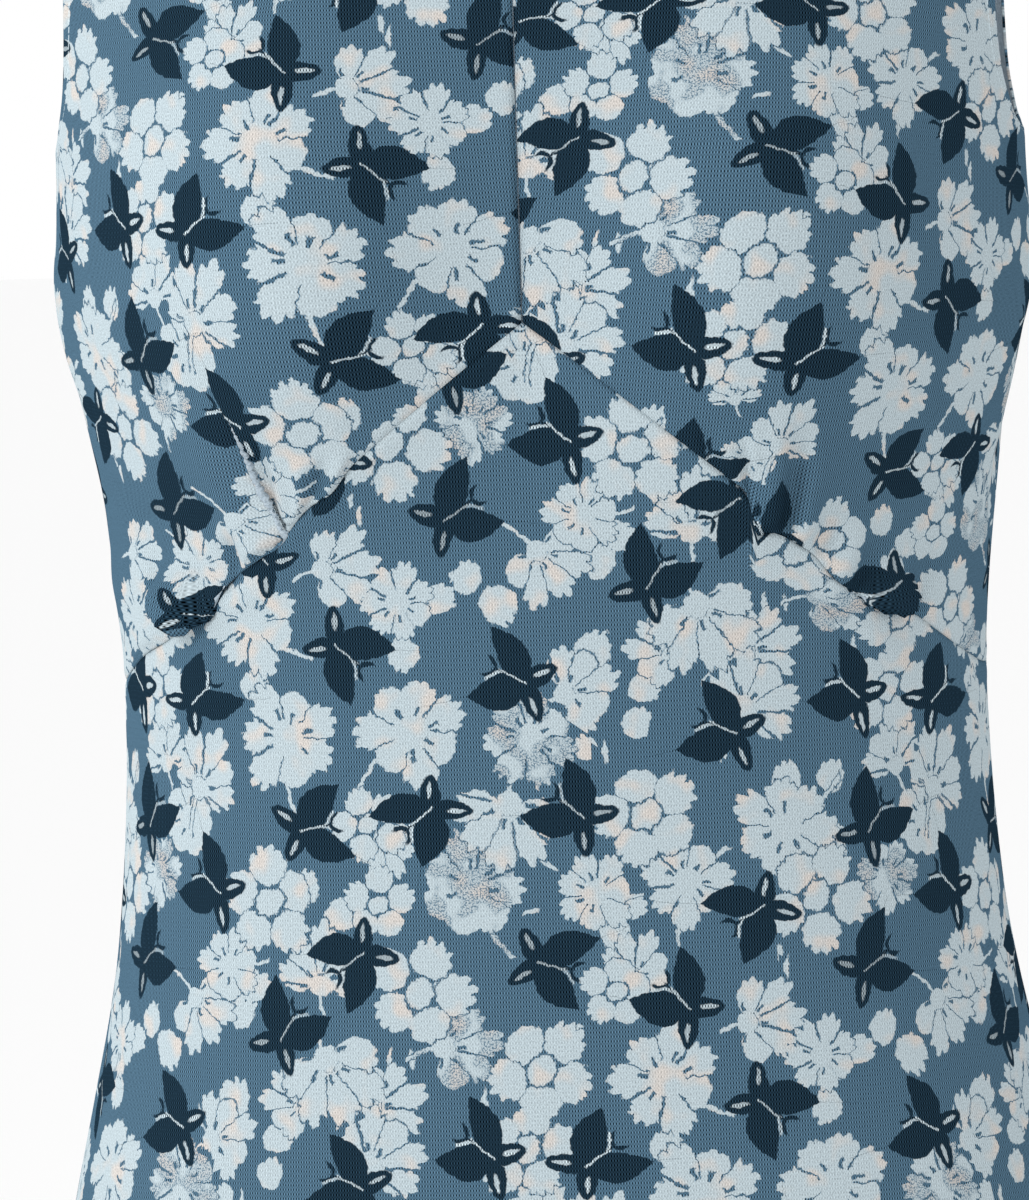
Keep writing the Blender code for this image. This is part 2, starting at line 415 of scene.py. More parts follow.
# The shares of a fold's line over which it fades: its end, both ends of an arch, of a body fold
FOLD_FADE = 0.45
ARCH_FADE = 0.3
BODY_FOLD_FADE = 0.35


def fade_ends(along, share):
    """From 0 at both ends of a line to 1 within a share of it."""
    return ease(along / share) * ease((1 - along) / share)


def push_folds(place, folds):
    """How far charted folds push the cloth out, and how far they carry it, in photo pixels.

    A lap carries the cloth on the left of its line over the line, and a pouch also stands out."""
    total = np.zeros(place.shape[:-1])
    carried = np.zeros(place.shape)
    for kind, depth, start_width, end_width, line in folds:
        signed, along, outward = from_line(place, line)
        across = signed * PIXEL / (start_width + (end_width - start_width) * along)
        fade = ease((1 - along) / FOLD_FADE)
        if kind in ("arch", "pouch"):
            fade = fade_ends(along, ARCH_FADE)
        if kind in ("lap", "pouch"):
            lap = depth * fade * ease(across / LAP_TURN) * ease((1 - across) / (1 - LAP_TURN))
            carried -= outward * lap[..., None] / PIXEL
            total += lap * (POUCH_RISE if kind == "pouch" else LAP_RISE)
        else:
            total += depth * bell(across, 1) * fade
    return total, carried


def carry(camera, points, carried):
    """Moves points across the camera's view, by photo pixels to the right and down."""
    right, up = np.array(camera.matrix_world)[:3, :2].T
    points += carried[..., :1] * PIXEL * right
    points -= carried[..., 1:] * PIXEL * up


RIGHT_BODICE_FOLDS = (
    # kind, depth, width at its start and at its end, line from the seam outward in photo pixels
    ("lap", 0.0050, 0.0130, 0.0150,
     ((288, 538), (281, 523), (267, 503), (252, 478), (236, 440), (206, 376))),
    ("lap", 0.0020, 0.0040, 0.0050, ((304, 514), (288, 516), (274, 506), (258, 484))),
    ("pouch", 0.0072, 0.0170, 0.0170,
     ((150, 560), (164, 590), (182, 609), (204, 612), (222, 599), (238, 572))),
    ("fold", 0.0030, 0.0040, 0.0110, ((262, 552), (240, 516), (214, 462), (190, 400))),
    ("fold", -0.0026, 0.0010, 0.0030, ((288, 528), (274, 506), (262, 470), (250, 430))),
    ("fold", 0.0022, 0.0016, 0.0040, ((300, 512), (300, 486), (296, 452))),
    ("fold", -0.0020, 0.0011, 0.0032, ((311, 506), (318, 476), (328, 444))),
    ("fold", 0.0014, 0.0018, 0.0036, ((326, 494), (336, 466), (350, 436))),
    ("fold", -0.0026, 0.0012, 0.0036, ((240, 570), (232, 550), (222, 526))),
    ("fold", -0.0024, 0.0020, 0.0050, ((182, 612), (166, 588), (154, 556), (141, 520), (119, 480))),
    ("fold", 0.0020, 0.0060, 0.0090, ((150, 640), (138, 596), (116, 540))),
)

LEFT_BODICE_FOLDS = (
    ("pouch", 0.0066, 0.0160, 0.0160,
     ((836, 560), (850, 588), (866, 600), (885, 599), (902, 588), (918, 562))),
    ("fold", -0.0030, 0.0016, 0.0048, ((768, 538), (790, 500), (797, 460), (800, 420))),
    ("fold", 0.0026, 0.0024, 0.0060, ((756, 532), (772, 490), (778, 450), (782, 400))),
    ("fold", -0.0024, 0.0011, 0.0034, ((750, 512), (750, 478), (752, 440))),
    ("fold", 0.0014, 0.0018, 0.0040, ((734, 492), (728, 460), (724, 424))),
    ("fold", -0.0016, 0.0010, 0.0030, ((718, 474), (706, 446), (700, 418))),
    ("fold", 0.0024, 0.0026, 0.0070, ((786, 546), (806, 510), (816, 470), (822, 420))),
    ("fold", -0.0024, 0.0015, 0.0044, ((806, 556), (826, 520), (836, 480))),
    ("fold", 0.0018, 0.0024, 0.0060, ((826, 570), (850, 536), (868, 500))),
    ("fold", -0.0022, 0.0014, 0.0040, ((842, 590), (862, 556), (890, 520))),
    ("fold", -0.0024, 0.0020, 0.0050, ((916, 606), (926, 576), (940, 540))),
)

SKIRT_FOLDS = (
    ("fold", -0.0012, 0.0024, 0.0040, ((213, 568), (226, 572), (240, 578))),
    ("fold", 0.0010, 0.0030, 0.0060, ((232, 600), (262, 580), (292, 560))),
    ("arch", 0.0012, 0.0090, 0.0090, ((140, 760), (172, 700), (228, 640))),
    ("arch", -0.0010, 0.0080, 0.0080, ((170, 830), (214, 748), (290, 670))),
    ("arch", 0.0014, 0.0080, 0.0080, ((960, 720), (910, 664), (846, 618))),
    ("arch", -0.0010, 0.0080, 0.0080, ((950, 800), (890, 724), (806, 660))),
    ("fold", 0.0008, 0.0030, 0.0050, ((900, 608), (880, 620), (852, 622))),
)

# The gathers drag the seam down from its straight line: across in photo pixels, then how far down
SEAM_DRAG = (
    (118, 0.0), (142, -0.0008), (168, 0.0026), (199, 0.0038), (237, 0.0028),
    (262, 0.0042), (284, 0.0040), (304, 0.0016), (332, 0.0032), (354, 0.0),
    (742, 0.0), (748, 0.0020), (755, 0.0120), (766, 0.0092), (779, 0.0068),
    (800, 0.0054), (815, 0.0056), (835, 0.0084), (852, 0.0080), (872, 0.0062),
    (896, 0.0030), (918, 0.0),
)
DRAG_REACH = 0.034

# Where turns become lengths across the sides and the back
BODY_RADIUS = 0.17
BODY_FOLDS = (
    # turn and height of the start and the end, depth, half width: soft drag lines on the hidden sides
    (96, -0.225, 74, -0.300, 0.0022, 0.010),
    (100, -0.255, 82, -0.345, -0.0018, 0.009),
    (-97, -0.222, -76, -0.296, 0.0020, 0.010),
    (-101, -0.258, -84, -0.340, -0.0018, 0.009),
    (118, -0.380, 160, -0.412, 0.0022, 0.009),
    (112, -0.425, 150, -0.446, -0.0016, 0.010),
    (-116, -0.388, -158, -0.408, 0.0020, 0.009),
    (-110, -0.432, -148, -0.450, -0.0016, 0.010),
    (168, -0.395, 196, -0.398, 0.0018, 0.008),
    (120, -0.215, 146, -0.270, 0.0016, 0.012),
    (-121, -0.212, -149, -0.266, 0.0016, 0.012),
    (134, -0.520, 168, -0.640, 0.0024, 0.016),
    (-132, -0.530, -170, -0.655, 0.0024, 0.016),
    (90, -0.470, 96, -0.640, 0.0018, 0.012),
    (-90, -0.480, -95, -0.650, 0.0018, 0.012),
)


def push_body_folds(points):
    """Soft creases charted by turn and height, for the sides and the back."""
    turn = np.arctan2(points[..., 0], -points[..., 1])
    total = np.zeros(turn.shape)
    for start_turn, start_z, end_turn, end_z, depth, half_width in BODY_FOLDS:
        middle = math.radians((start_turn + end_turn) / 2)
        away = (turn - middle + math.pi) % (2 * math.pi) - math.pi
        place = np.stack((away * BODY_RADIUS, points[..., 2]), -1)
        half = math.radians(end_turn - start_turn) / 2 * BODY_RADIUS
        signed, along, _ = from_line(place, ((-half, start_z), (half, end_z)))
        total += depth * bell(signed, half_width) * fade_ends(along, BODY_FOLD_FADE)
    return total


# ---------------------------------------------------------------- seams and edges


SEAM_DIP = 0.0005
SEAM_WIDTH = 0.0009
SEAM_PUFF = 0.0002
SEAM_PUFF_AT = 0.0042
SEAM_PUFF_WIDTH = 0.0028
EDGE_ROLL = 0.0006
EDGE_ROLL_WIDTH = 0.0012
STITCH_GROOVE = 0.00025
STITCH_GROOVE_WIDTH = 0.0009
NECK_STITCH = 0.0065
HEM_STITCH = 0.0200
# From one of the hem's two rows of stitches to the other, in millimetres
HEM_ROW_STEP = 4
# The seam holds the folds down to a share of their height, and the laps and pouches fully
HELD_REACH = 0.0045
HELD_SHARE = 0.2
CARRY_REACH = 0.0012
# Stands for a distance from an edge that is not turned
FAR = 1.0


def seam_push(distance):
    """A seam pulls the cloth in along its line, and the cloth puffs up a little beside it."""
    puff = SEAM_PUFF * bell(distance - SEAM_PUFF_AT, SEAM_PUFF_WIDTH)
    return puff - SEAM_DIP * bell(distance, SEAM_WIDTH)


def edge_push(distance, stitch):
    """A turned edge rolls in, and its stitch line sits in a shallow groove."""
    groove = STITCH_GROOVE * bell(distance - stitch, STITCH_GROOVE_WIDTH)
    return -EDGE_ROLL * bell(distance, EDGE_ROLL_WIDTH) - groove


def edge_distances(points):
    """Distances from the left, right, foot and top edges of a grid, along its own lines."""
    across, up = arc(points, 1), arc(points, 0)
    return across, across[:, -1:] - across, up, up[-1:] - up


def seam_drag(place, distance):
    """How far down the gathers drag the cloth near the seam, the same on both sides of it."""
    return smooth_column(SEAM_DRAG, place[..., 0], 1) * ease(1 - distance / DRAG_REACH)


def finish_bodice(form, side, camera):
    """A bodice front with its gathers, seams and turned edges.

    Also each point's distances from its turned edges, from a hem and along the edge's stitches."""
    place = photo_place(camera, form)
    left, right, foot, top = edge_distances(form)
    centre, outer = (right, left) if side < 0 else (left, right)
    push, carried = push_folds(place, RIGHT_BODICE_FOLDS if side < 0 else LEFT_BODICE_FOLDS)
    held = ease(foot / HELD_REACH)
    push = (push + push_body_folds(form)) * (HELD_SHARE + (1 - HELD_SHARE) * held)
    lower = form[..., 2] < UNDERARM_Z
    neck_row = form[:, :1] if side > 0 else form[:, -1:]
    above_neck = neck_row[..., 2] > chest_point(np.zeros(1), np.zeros(1) + NECK_FOOT_HEIGHT)[0, 2]
    push += seam_push(foot) + seam_push(top)
    push += np.where(above_neck, edge_push(centre, NECK_STITCH), seam_push(centre))
    push += np.where(lower, seam_push(outer), edge_push(outer, NECK_STITCH))
    points = form + normals_of(form) * push[..., None]
    carry(camera, points, carried * ease(foot / CARRY_REACH)[..., None])
    points[..., 2] -= seam_drag(place, foot)
    turned = np.where(above_neck, centre, FAR)
    turned = np.minimum(turned, np.where(lower, FAR, outer))
    return points, turned, np.full_like(turned, FAR), foot


def finish_skirt(form, camera):
    place = photo_place(camera, form)
    left, right, foot, top = edge_distances(form)
    push = push_folds(place, SKIRT_FOLDS)[0] + push_body_folds(form)
    push += seam_push(top) + seam_push(left) + seam_push(right) + edge_push(foot, HEM_STITCH)
    points = form + normals_of(form) * push[..., None]
    points[..., 2] -= seam_drag(place, top)
    return points, np.full_like(push, FAR), foot, left


def finish_back(form):
    left, right, foot, top = edge_distances(form)
    push = push_body_folds(form) + edge_push(foot, HEM_STITCH)
    lower = form[..., 2] < UNDERARM_Z
    neck = np.abs(form[-1:, :, 0]) < SHOULDER_HALF_WIDTH * math.sin(NECK_TURN)
    push += np.where(neck, edge_push(top, NECK_STITCH), seam_push(top))
    push += np.where(lower, seam_push(left) + seam_push(right), 0)
    push += np.where(lower, 0, edge_push(left, NECK_STITCH) + edge_push(right, NECK_STITCH))
    points = form + normals_of(form) * push[..., None]
    turned = np.where(neck, top, FAR)
    turned = np.minimum(turned, np.where(lower, FAR, np.minimum(left, right)))
    return points, turned, foot, left


# ---------------------------------------------------------------- flat cloth


def faces_of(rows, columns):
    index = np.arange(rows * columns).reshape(rows, columns)
    corners = (index[:-1, :-1], index[:-1, 1:], index[1:, 1:], index[1:, :-1])
    return np.stack(corners, -1).reshape(-1, 4)


def grid_mesh(name, points):
    rows, columns = points.shape[:2]
    mesh = bpy.data.meshes.new(name)
    mesh.from_pydata(points.reshape(-1, 3).tolist(), [], faces_of(rows, columns).tolist())
    mesh.shade_smooth()
    return mesh


def cell_areas(points):
    """Area of each cell of a grid of points, in two or three dimensions."""
    one = points[1:, 1:] - points[:-1, :-1]
    other = points[1:, :-1] - points[:-1, 1:]
    if points.shape[-1] == 2:
        return np.abs(one[..., 0] * other[..., 1] - one[..., 1] * other[..., 0]) / 2
    return np.linalg.norm(np.cross(one, other), axis=-1) / 2


def unwrap(points):
    """Blender's own unwrap of a grid of points, at any size and turn."""
    mesh = grid_mesh("coarse", points)
    mesh.uv_layers.new(name="flat")
    piece = bpy.data.objects.new("coarse", mesh)
    bpy.context.scene.collection.objects.link(piece)
    bpy.context.view_layer.objects.active = piece
    bpy.ops.object.mode_set(mode="EDIT")
    bpy.ops.mesh.select_all(action="SELECT")
    bpy.ops.uv.unwrap(method="ANGLE_BASED", margin=0)
    bpy.ops.object.mode_set(mode="OBJECT")
    corner_uv = np.zeros(len(mesh.loops) * 2)
    mesh.uv_layers["flat"].data.foreach_get("uv", corner_uv)
    corner_vert = np.zeros(len(mesh.loops), int)
    mesh.loops.foreach_get("vertex_index", corner_vert)
    flat = np.zeros((points.shape[0] * points.shape[1], 2))
    flat[corner_vert] = corner_uv.reshape(-1, 2)
    bpy.data.objects.remove(piece)
    bpy.data.meshes.remove(mesh)
    return flat.reshape(*points.shape[:2], 2)


def straighten(flat, aim, near):
    """Turns flat places, and mirrors them if need be, to bring the near columns to where they aim.

    Each place is one complex number."""
    aim = aim[:, near].ravel()
    fits = []
    for whole in (flat, flat.conj()):
        found = whole[:, near].ravel()
        turn = ((found - found.mean()).conj() * (aim - aim.mean())).sum()
        fits.append((turn, whole, found.mean()))
    turn, whole, middle = max(fits, key=lambda fit: abs(fit[0]))
    return (whole - middle) * turn / abs(turn) + aim.mean()


COARSE_ROWS = 74
COARSE_COLUMNS = 39
STRAIGHT_COLUMNS = 24


def unfold(form, straight):
    """Flat places of a grid of points in metres, as the piece was cut, with its straight grain up.

    A coarse copy is unwrapped, scaled to its own area, and turned so that the straight column, which
    lies at the centre front or back, runs up."""
    every_row, every_column = np.arange(form.shape[0]), np.arange(form.shape[1])
    rows = np.unique(np.linspace(0, every_row[-1], COARSE_ROWS).round().astype(int))
    columns = np.unique(np.linspace(0, every_column[-1], COARSE_COLUMNS).round().astype(int))
    coarse = form[np.ix_(rows, columns)]
    flat = unwrap(coarse)
    flat *= math.sqrt(cell_areas(coarse).sum() / cell_areas(flat).sum())
    across = arc(coarse, 1)
    across -= across[:, np.searchsorted(columns, straight)][:, None]
    near = np.abs(columns - straight) <= STRAIGHT_COLUMNS
    whole = straighten(flat[..., 0] + 1j * flat[..., 1], across + 1j * coarse[..., 2], near)
    tall = np.stack([np.interp(every_row, rows, column) for column in whole.T], 1)
    fine = np.stack([np.interp(every_column, columns, row) for row in tall])
    return np.stack((fine.real, fine.imag), -1)


# ---------------------------------------------------------------- print

# The print repeats in a half drop: these two steps, across and up, carry it onto itself
REPEAT_STEPS = ((0.1457, -0.1628), (-0.1363, -0.1568))

LAYOUT = {
    # How the print lies on a piece beside the chart: turn of its rows and of its columns in degrees,
    # stretch along its rows and along its columns, shift across and up
    "front_skirt": (0.0, 0.0, 1.0, 1.0, 0.0, 0.0),
    "front_bodice_right": (21.9, 16.4, 1.022, 1.060, 0.052, -0.296),
    "front_bodice_left": (-19.9, -14.6, 1.034, 1.069, -0.016, -0.246),
    "back": (0.0, 0.0, 1.0, 1.0, 0.060, 0.020),
}

GATHERED = {
    # The gathers crowd the print: layer of a motif, where it would show and where it shows, in photo
    # pixels, how far it is turned in degrees, and by how much its size is multiplied
    "front_bodice_right": (
        ("butterfly", (168, 485), (176, 510), 12, 1.10),
        ("butterfly", (123, 586), (197, 615), 40, 0.90),
        ("blossom", (155, 551), (201, 566), 20, 1.06),
        ("blossom", (110, 551), (136, 616), 0, 0.95),
        ("blossom", (121, 515), (141, 552), 0, 0.85),
        ("floret", (121, 413), (124, 428), 0, 1),
        ("bud", (188, 537), (201, 566), 0, 1),
        ("bud", (216, 564), (201, 566), 0, 1),
        ("bud", (173, 553), (201, 566), 0, 1),
        ("bud", (158, 598), (136, 616), 0, 1),
    ),
    "front_bodice_left": (
        ("butterfly", (790, 528), (769, 541), -22, 1.16),
        ("butterfly", (914, 576), (899, 583), 0, 1),
        ("blossom", (796, 427), (790, 432), 0, 0.80),
        ("blossom", (733, 404), (734, 390), 0, 0.60),
        ("second_blossom", (764, 472), (747, 458), 60, 0.70),
        ("floret", (847, 539), (830, 540), 0, 0.84),
    ),
}

CHART = (
    # One repeat, charted on the front skirt, in runs of one kind: for each motif its place
    # across and down in photo pixels, the way it points in degrees, and its size
    ("butterfly", (448, 518, 28, 1), (338, 648, -41, 1), (522, 681, 159, 1), (649, 585, 56, 1),
     (732, 732, 158, 1), (857, 694, 150, 1), (360, 955, 217, 1), (566, 439, 148, 1),
     (451, 375, 52, 1), (305, 830, 13, 1), (429, 811, 227, 1), (580, 815, 140, 1),
     (761, 908, 214, 1), (543, 964, -18, 1), (687, 1006, 134, 1), (590, 1164, 43, 1)),
    ("blossom", (667, 1079, 130, 1.12)),
    ("fan", (767, 1020, 5, 0.88)),
    ("blossom", (398, 603, -80, 0.8), (288, 738, 75, 1.18), (411, 732, 25, 1.18)),
    ("speckled", (530, 738, 80, 0.98)),
    ("fan", (584, 687, 20, 0.9), (706, 628, -70, 1.12), (655, 652, 170, 0.7), (204, 770, 60, 0.95),
     (165, 745, 100, 0.8), (693, 512, 85, 0.92)),
    ("blossom", (582, 516, 170, 0.82)),
    ("fan", (548, 567, -55, 0.86)),
    ("floret", (633, 450, 20, 1.38)),
    ("fan", (764, 645, 15, 0.88), (757, 692, 50, 1)),
    ("blossom", (786, 828, 200, 1.12)),
    ("fan", (822, 856, -60, 0.74)),
    ("floret", (646, 815, 35, 1.36)),
    ("blossom", (595, 893, 160, 0.84), (688, 882, 60, 0.92)),
    ("floret", (817, 896, 60, 1.34)),
    ("fan", (640, 962, 65, 0.7)),
    ("floret", (617, 992, 10, 0.92), (542, 1071, 50, 1.32), (528, 1150, 80, 1.22),
     (378, 905, 15, 0.92), (368, 824, 40, 0.94)),
    ("fan", (388, 852, -62, 0.66), (505, 828, -100, 1.08)),
    ("speckled", (471, 888, 100, 1.16)),
    ("floret", (420, 994, 70, 1.34)),
    ("speckled_fan", (464, 1045, 5, 0.92)),
    ("blossom", (522, 366, 190, 0.9)),
    ("speckled", (472, 424, 60, 0.78)),
    ("bud", (464, 578, 80, 1), (500, 606, -60, 1.3), (592, 650, 75, 1.3), (664, 1146, 90, 1),
     (884, 1025, 90, 1), (440, 598, 20, 1.05), (404, 655, 260, 1.1), (256, 686, 90, 1.05),
     (600, 560, 60, 1.1), (618, 535, 20, 1.1), (645, 687, 0, 1), (636, 722, 80, 1),
     (615, 934, 290, 1.05), (632, 906, 10, 0.95), (342, 914, 0, 1.15), (305, 886, 100, 1.05),
     (448, 986, 20, 0.95), (585, 748, 120, 0.8), (830, 775, 80, 1.05), (786, 778, 100, 1.05)),
    ("dash", (350, 500, 90, 1), (785, 598, 90, 1), (605, 751, 90, 1), (390, 1060, 90, 1),
     (484, 1099, 90, 1), (724, 850, 30, 0.9), (533, 911, 10, 0.9), (551, 866, -35, 0.9),
     (574, 1029, 25, 0.9), (786, 966, 90, 1)),
)

KINDS = {
    # kind: the layers that can hold it, radius in metres, code (odd for fans and dashes, 2 or more
    # where speckled)
    "butterfly": (("butterfly",), 0.0215, 0),
    "blossom": (("blossom", "second_blossom"), 0.0165, 0),
    "fan": (("blossom", "second_blossom"), 0.0150, 1),
    "speckled": (("blossom", "second_blossom"), 0.0165, 2),
    "speckled_fan": (("blossom", "second_blossom"), 0.0150, 3),
    "floret": (("floret",), 0.0140, 0),
    "bud": (("bud",), 0.0055, 0),
    "dash": (("bud",), 0.0045, 1),
}
LAYERS = ("butterfly", "blossom", "second_blossom", "floret", "bud")
# A motif's seed is its kind's code in steps, and a number of its own below a step
SEED_STEP = 10.0
SEED_STRIDE = 3.81
SEED_RANGE = 9.6
# Motifs of a layer stand apart by this share of their radii
CLEARANCE = 0.86
REPEATS_EACH_WAY = 9
PRINT_MARGIN = 0.03
# Added to the squared distance, in photo pixels, of what the camera doesn't see
HIDDEN = 1e9
FACES_AT_ONCE = 4000


def lay_print(node, flat):
    """Places on the printed cloth of the flat places of a piece."""
    row_turn, column_turn, row_stretch, column_stretch, shift_across, shift_up = LAYOUT[node]
    row_turn, column_turn = math.radians(row_turn), math.radians(column_turn)
    row = np.array((math.cos(row_turn), math.sin(row_turn))) * row_stretch
    column = np.array((-math.sin(column_turn), math.cos(column_turn))) * column_stretch
    return flat @ np.stack((row, column)) + (shift_across, shift_up)


def take_up(flat, form, points):
    """Flat places of a bodice whose folds take up more cloth, counted down from its top."""
    extra = arc(points[::-1], 0)[::-1] - arc(form[::-1], 0)[::-1]
    up = np.gradient(flat, axis=0)
    up /= np.linalg.norm(up, axis=-1, keepdims=True)
    return flat - extra[..., None] * up


def flat_at(spot, place, shown, flat):
    """Flat place of the point of a piece that shows at a spot of the photograph."""
    away = np.sum((place - spot) ** 2, -1) + np.where(shown, 0, HIDDEN)
    nearest = np.unravel_index(np.argmin(away), away.shape)
    off = (np.array(spot) - place[nearest]) * (PIXEL, -PIXEL)
    return flat[nearest] + off


def repeat_shifts(reach):
    """The shifts, across and up, that carry the print onto itself."""
    counts = [(i, j) for i in range(-reach, reach + 1) for j in range(-reach, reach + 1)]
    return [count @ np.array(REPEAT_STEPS) for count in counts]


def is_clear(row, others):
    """True where a motif stands clear of all repeats of the others."""
    for other in others:
        for shift in repeat_shifts(1):
            away = np.array(other[:2]) + shift - row[:2]
            if np.hypot(*away) <= CLEARANCE * (row[5] + other[5]):
                return False
    return True


def chart_repeat(place, shown, flat):
    """The charted motifs by layer, in flat coordinates: across, up, turn, size, code and seed, radius."""
    layers = {layer: [] for layer in LAYERS}
    motifs = [(kind, *motif) for kind, *run in CHART for motif in run]
    for index, (kind, x, y, turn, size) in enumerate(motifs):
        choices, radius, code = KINDS[kind]
        spot = flat_at((x, y), place, shown, flat)
        seed = SEED_STEP * code + round(0.2 + index * SEED_STRIDE % SEED_RANGE, 1)
        row = (*spot, math.radians(turn), size, seed, radius * size)
        clear = [layer for layer in choices if is_clear(row, layers[layer])]
        layers[(*clear, choices[-1])[0]].append(row)
    return {layer: np.array(rows) for layer, rows in layers.items()}


def repeated(sites, low, high):
    """The sites of one repeat carried over a whole piece."""
    rows = []
    for shift in repeat_shifts(REPEATS_EACH_WAY):
        moved = sites.copy()
        moved[:, :2] += shift
        place = moved[:, :2]
        inside = (place > low - PRINT_MARGIN) & (place < high + PRINT_MARGIN)
        rows.append(moved[np.all(inside, 1)])
    return np.concatenate(rows)


def gathered(sites, layer, moves):
    """The sites of a layer, with those that the gathers crowd moved, turned and resized."""
    for moved_layer, start, end, turn, scale in moves:
        if moved_layer == layer:
            mine = np.argmin(np.sum((sites[:, :2] - start) ** 2, -1))
            sites[mine, :2] = end
            sites[mine, 2] += math.radians(turn)
            sites[mine, 3] *= scale
            sites[mine, 5] *= scale
    return sites


def gather_moves(node, place, shown, flat):
    """The moves of a bodice's crowded motifs, in places on the printed cloth."""
    moves = []
    for layer, start, end, turn, scale in GATHERED[node]:
        spots = np.stack([flat_at(spot, place, shown, flat) for spot in (start, end)])
        moves.append((layer, *lay_print(node, spots), turn, scale))
    return moves


def motif_coordinates(sites, flat, faces):
    """At each face corner, the place in millimetres in the frame of the motif nearest to the face."""
    flat = flat.reshape(-1, 2)
    centres = flat[faces].mean(1)
    nearest = np.empty(len(faces), int)
    for start in range(0, len(faces), FACES_AT_ONCE):
        some = slice(start, start + FACES_AT_ONCE)
        away = centres[some, None] - sites[None, :, :2]
        nearest[some] = np.argmin(np.sum(away**2, -1) / sites[:, 5] ** 2, 1)
    mine = sites[nearest]
    away = (flat[faces] - mine[:, None, :2]) / mine[:, None, 3:4] * 1000
    cos, sin = np.cos(mine[:, 2])[:, None], np.sin(mine[:, 2])[:, None]
    x = away[..., 0] * cos + away[..., 1] * sin
    y = away[..., 1] * cos - away[..., 0] * sin
    seed = np.broadcast_to(mine[:, 4:5], x.shape)
    return np.stack((x, y, seed), -1)


# ---------------------------------------------------------------- materials


def srgb(red, green, blue):
    """A screen colour, 0 to 255, as the linear colour that a shader takes."""
    linear = []
    for value in (red, green, blue):
        value /= 255
        linear.append(value / 12.92 if value <= 0.04045 else ((value + 0.055) / 1.055) ** 2.4)
    return (*linear, 1.0)


GROUND = srgb(86, 118, 140)
NAVY = srgb(33, 54, 69)
ICE = srgb(205, 221, 228)
CREAM = srgb(229, 223, 217)
INSIDE = srgb(150, 166, 178)
INSIDE_PALE = srgb(170, 184, 194)
FLOOR = srgb(250, 250, 250)


def plug(tree, socket, given):
    """Sets a socket to a number or a colour, or links it to a value or an output."""
    if isinstance(given, Value):
        given = given.socket
    if isinstance(given, bpy.types.NodeSocket):
        tree.links.new(given, socket)
    elif given is not None:
        socket.default_value = given


def add_node(tree, kind, inputs, **settings):
    """Adds a shader node with its settings, and plugs in its inputs."""
    node = tree.nodes.new("ShaderNode" + kind)
    for name, setting in settings.items():
        setattr(node, name, setting)
    for slot, given in inputs.items():
        plug(tree, node.inputs[slot], given)
    return node


class Value:
    """A number that varies over the cloth. Arithmetic on it adds shader nodes."""

    def __init__(self, tree, socket):
        self.tree = tree
        self.socket = socket

    def math(self, operation, other=None, third=None, clamped=False):
        inputs = dict(enumerate((self, other, third)))
        node = add_node(self.tree, "Math", inputs, operation=operation, use_clamp=clamped)
        return Value(self.tree, node.outputs[0])

    __add__ = __radd__ = partialmethod(math, "ADD")
    __sub__ = partialmethod(math, "SUBTRACT")
    __mul__ = __rmul__ = partialmethod(math, "MULTIPLY")
    __truediv__ = partialmethod(math, "DIVIDE")
    __pow__ = partialmethod(math, "POWER")
    __abs__ = partialmethod(math, "ABSOLUTE")
    sin = partialmethod(math, "SINE")
    cos = partialmethod(math, "COSINE")
    lowest = partialmethod(math, "MINIMUM")
    highest = partialmethod(math, "MAXIMUM")

    def __rsub__(self, other):
        return self.math("MULTIPLY_ADD", -1.0, other)

    def fold(self, low, high):
        """Wraps the value into a range."""
        return self.math("WRAP", high, low)

    def above(self, low, high):
        """0 below low and 1 above high, smooth between them."""
        inputs = {"Value": self, "From Min": low, "From Max": high}
        node = add_node(self.tree, "MapRange", inputs, interpolation_type="SMOOTHSTEP")
        return Value(self.tree, node.outputs["Result"])


class Place:
    """A place on the cloth in a motif's own frame, in millimetres, with the motif's seed."""

    def __init__(self, tree, vector):
        outputs = add_node(tree, "SeparateXYZ", {0: vector}).outputs
        self.x, self.y, self.seed = [Value(tree, output) for output in outputs]

    def radius(self):
        return (self.x * self.x + self.y * self.y).math("SQRT")

    def angle(self):
        return self.y.math("ARCTAN2", self.x)


def attribute(tree, name):
    return add_node(tree, "Attribute", {}, attribute_name=name).outputs["Vector"]


def noise(tree, vector, scale, detail=1.0, roughness=0.5):
    """Noise from about 0 to 1, and its colour."""
    inputs = {"Vector": vector, "Scale": scale, "Detail": detail, "Roughness": roughness}
    node = add_node(tree, "TexNoise", inputs, noise_dimensions="2D")
    return Value(tree, node.outputs["Fac"]), node.outputs["Color"]


def shift_vector(tree, vector, wobble, amount):
    """vector + (wobble - 0.5) * amount, across and up."""
    inputs = {0: wobble, 1: (amount, amount, 0), 2: vector}
    moved = add_node(tree, "VectorMath", inputs, operation="MULTIPLY_ADD").outputs[0]
    inputs = {0: moved, 1: (amount / 2, amount / 2, 0)}
    return add_node(tree, "VectorMath", inputs, operation="SUBTRACT").outputs[0]


def own_number(value):
    """A number from 0 to 1 that belongs to each whole value."""
    node = add_node(value.tree, "TexWhiteNoise", {"W": value}, noise_dimensions="1D")
    return Value(value.tree, node.outputs["Value"])


def mix(tree, factor, one, other):
    inputs = {"Factor": factor, "A": one, "B": other}
    return add_node(tree, "Mix", inputs, data_type="RGBA").outputs["Result"]


def turned_to(x, y, degrees):
    """Coordinates along and across a direction."""
    cos, sin = math.cos(math.radians(degrees)), math.sin(math.radians(degrees))
    return x * cos + y * sin, y * cos - x * sin


# Radians from petal to petal, how much less between a fan's, and the gap between printed shapes
BLOSSOM_SPACING = 0.898
FAN_CROWDING = 0.26
FLORET_SPACING = 1.2566
PRINT_GAP = 0.5


